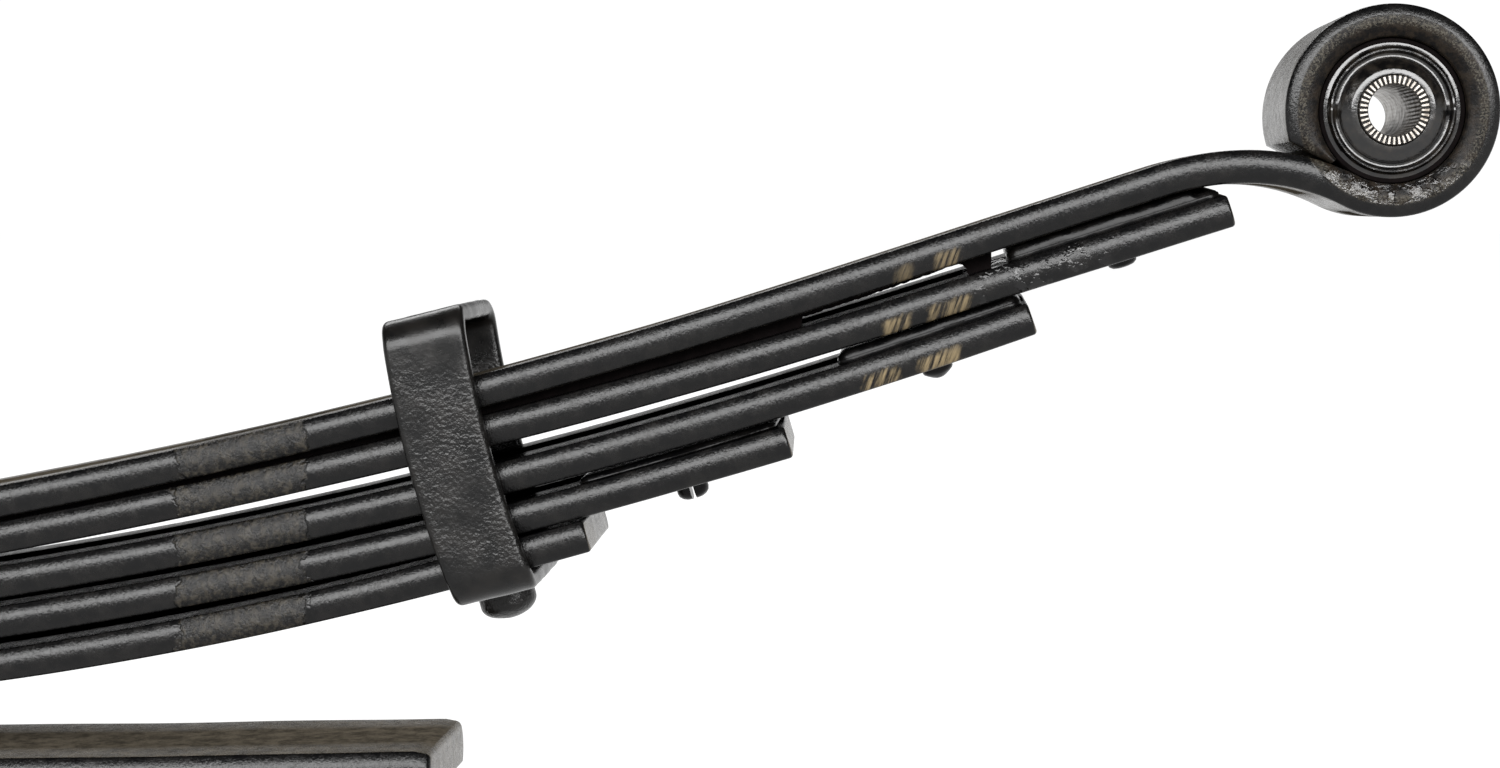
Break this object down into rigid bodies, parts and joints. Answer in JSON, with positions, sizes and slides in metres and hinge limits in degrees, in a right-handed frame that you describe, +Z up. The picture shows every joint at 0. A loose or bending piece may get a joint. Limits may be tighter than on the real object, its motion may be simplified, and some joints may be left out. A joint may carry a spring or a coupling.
{
  "type": "leaf spring",
  "caption": "Semi-elliptic multi-leaf suspension spring with rolled, bushed eyes, riveted rebound clips, leaf-tip pads and a flat helper leaf.",
  "frame": {"origin": "on the centre bolt's axis, in the flat seat face that lies on the axle pad", "axes": "+X along the spring towards its front eye, +Y across the leaves, +Z up from the axle seat towards the vehicle"},
  "size_m": [1.4582, 0.0748, 0.2345],
  "materials": {
    "leaf_paint": "black semi-gloss paint over shot-peened steel",
    "clip_paint": "black semi-gloss paint, bumpy",
    "fastener_paint": "black semi-gloss paint",
    "sleeve_steel": "bare steel, serrated ends",
    "shell_steel": "painted steel",
    "bush_rubber": "moulded rubber, overspray of paint",
    "tip_pad_plastic": "black plastic"
  },
  "bodies": {
    "pack": {"main_leaf": "leaf_paint", "second_leaf": "leaf_paint", "third_leaf": "leaf_paint", "fourth_leaf": "leaf_paint", "fifth_leaf": "leaf_paint", "helper_leaf": "leaf_paint", "spacer_plate": "leaf_paint", "centre_bolt": "fastener_paint", "centre_nut": "fastener_paint", "front_rebound_clip": "clip_paint", "front_clip_rivet": "fastener_paint", "front_second_leaf_pad": "tip_pad_plastic", "front_third_leaf_pad": "tip_pad_plastic", "front_fourth_leaf_pad": "tip_pad_plastic", "rear_rebound_clip": "clip_paint", "rear_clip_rivet": "fastener_paint", "rear_second_leaf_pad": "tip_pad_plastic", "rear_third_leaf_pad": "tip_pad_plastic", "rear_fourth_leaf_pad": "tip_pad_plastic"},
    "front_eye": {"front_bush_shell": "shell_steel", "front_bush_rubber": "bush_rubber"},
    "front_sleeve": {"front_bush_sleeve": "sleeve_steel"},
    "rear_eye": {"rear_bush_shell": "shell_steel", "rear_bush_rubber": "bush_rubber"},
    "rear_sleeve": {"rear_bush_sleeve": "sleeve_steel"}
  },
  "joints": [
    {"name": "front_half_flex", "type": "hinge", "parent": "pack", "child": "front_eye", "pos_m": [0.15, 0, 0.0654], "axis": [0, 1, 0], "range_deg": [-3, 9], "stiffness_Nm_per_rad": 9500, "deforming": ["main_leaf", "second_leaf", "third_leaf", "fourth_leaf", "fifth_leaf", "front_rebound_clip", "front_clip_rivet", "front_second_leaf_pad", "front_third_leaf_pad", "front_fourth_leaf_pad"]},
    {"name": "front_bush_twist", "type": "hinge", "parent": "front_eye", "child": "front_sleeve", "pos_m": [0.7, 0, 0.19747], "axis": [0, 1, 0], "range_deg": [-25, 25], "stiffness_Nm_per_rad": 40},
    {"name": "rear_half_flex", "type": "hinge", "parent": "pack", "child": "rear_eye", "pos_m": [-0.15, 0, 0.0654], "axis": [0, -1, 0], "range_deg": [-3, 9], "stiffness_Nm_per_rad": 9500, "deforming": ["main_leaf", "second_leaf", "third_leaf", "fourth_leaf", "fifth_leaf", "rear_rebound_clip", "rear_clip_rivet", "rear_second_leaf_pad", "rear_third_leaf_pad", "rear_fourth_leaf_pad"]},
    {"name": "rear_bush_twist", "type": "hinge", "parent": "rear_eye", "child": "rear_sleeve", "pos_m": [-0.7, 0, 0.19747], "axis": [0, 1, 0], "range_deg": [-25, 25], "stiffness_Nm_per_rad": 40}
  ]
}
